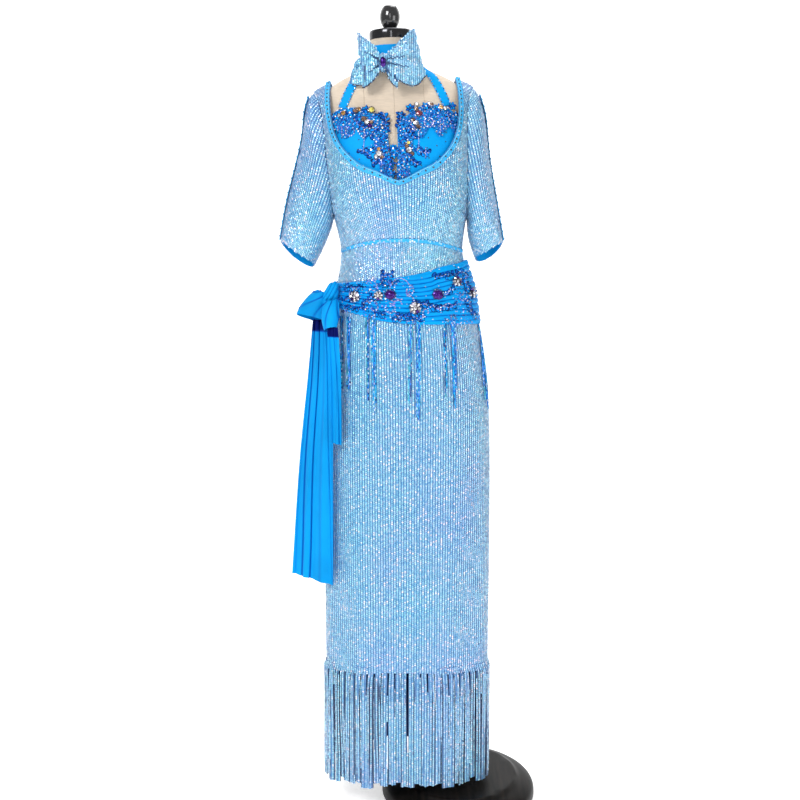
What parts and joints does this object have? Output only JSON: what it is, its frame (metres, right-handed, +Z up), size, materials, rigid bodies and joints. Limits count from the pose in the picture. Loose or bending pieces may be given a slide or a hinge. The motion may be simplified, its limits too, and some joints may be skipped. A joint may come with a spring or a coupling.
{
  "type": "belly dance dress on dress form",
  "caption": "Long sequinned belly dance dress with bra top, neck bow, hip sash, bead tassels and fringe, shown on a limbless dress form with a pole stand and round base.",
  "frame": {"origin": "centre of the round base's flat underside, on the floor", "axes": "+Z up, -Y towards the dress's front, +X towards the viewer's right as the viewer faces its front"},
  "size_m": [0.5561, 0.344, 1.7064],
  "materials": {
    "sequin_cloth": "sequinned, lightly iridescent",
    "blue_satin": "satin",
    "blue_trim": "satin binding",
    "lace_applique": "corded lace",
    "bead_strings": "glossy beads",
    "purple_gem": "polished",
    "crystal": "faceted and silvered",
    "linen": "matt linen cover",
    "black_lacquer": "glossy",
    "dark_wood": "dark satin varnish",
    "steel": "satin"
  },
  "bodies": {
    "root": {"bodice_back": "sequin_cloth", "bodice_front": "sequin_cloth", "bow_gem": "purple_gem", "bow_knot": "sequin_cloth", "bow_loop_left": "sequin_cloth", "bow_loop_right": "sequin_cloth", "bow_tail_left": "sequin_cloth", "bow_tail_right": "sequin_cloth", "bra_bridge": "blue_satin", "bra_cup_left": "blue_satin", "bra_cup_right": "blue_satin", "cuff_facing_left": "blue_satin", "cuff_facing_right": "blue_satin", "cup_lace_left": "lace_applique", "cup_lace_right": "lace_applique", "form_torso": "linen", "halter_strap_left": "blue_satin", "halter_strap_right": "blue_satin", "hem_fringe_back": "sequin_cloth", "hem_fringe_front": "sequin_cloth", "hip_sash": "blue_satin", "neck_band": "blue_satin", "neck_binding_back": "blue_trim", "neck_binding_front": "blue_trim", "neck_cap": "black_lacquer", "neck_knob": "black_lacquer", "overarm_trim_left": "blue_trim", "overarm_trim_right": "blue_trim", "sash_crystal_1": "crystal", "sash_crystal_2": "crystal", "sash_crystal_3": "crystal", "sash_crystal_4": "crystal", "sash_crystal_5": "crystal", "sash_gem_6": "purple_gem", "sash_gem_7": "purple_gem", "sash_knot": "blue_satin", "sash_loop_inner": "blue_satin", "sash_loop_outer": "blue_satin", "sash_tail_long": "blue_satin", "sash_tail_short": "blue_satin", "skirt_back": "sequin_cloth", "skirt_front": "sequin_cloth", "sleeve_left": "sequin_cloth", "sleeve_right": "sequin_cloth", "stand_base": "dark_wood", "stand_pole": "steel", "tassel_1": "bead_strings", "tassel_2": "bead_strings", "tassel_3": "bead_strings", "tassel_4": "bead_strings", "tassel_5": "bead_strings", "waist_band": "blue_trim"}
  },
  "joints": []
}
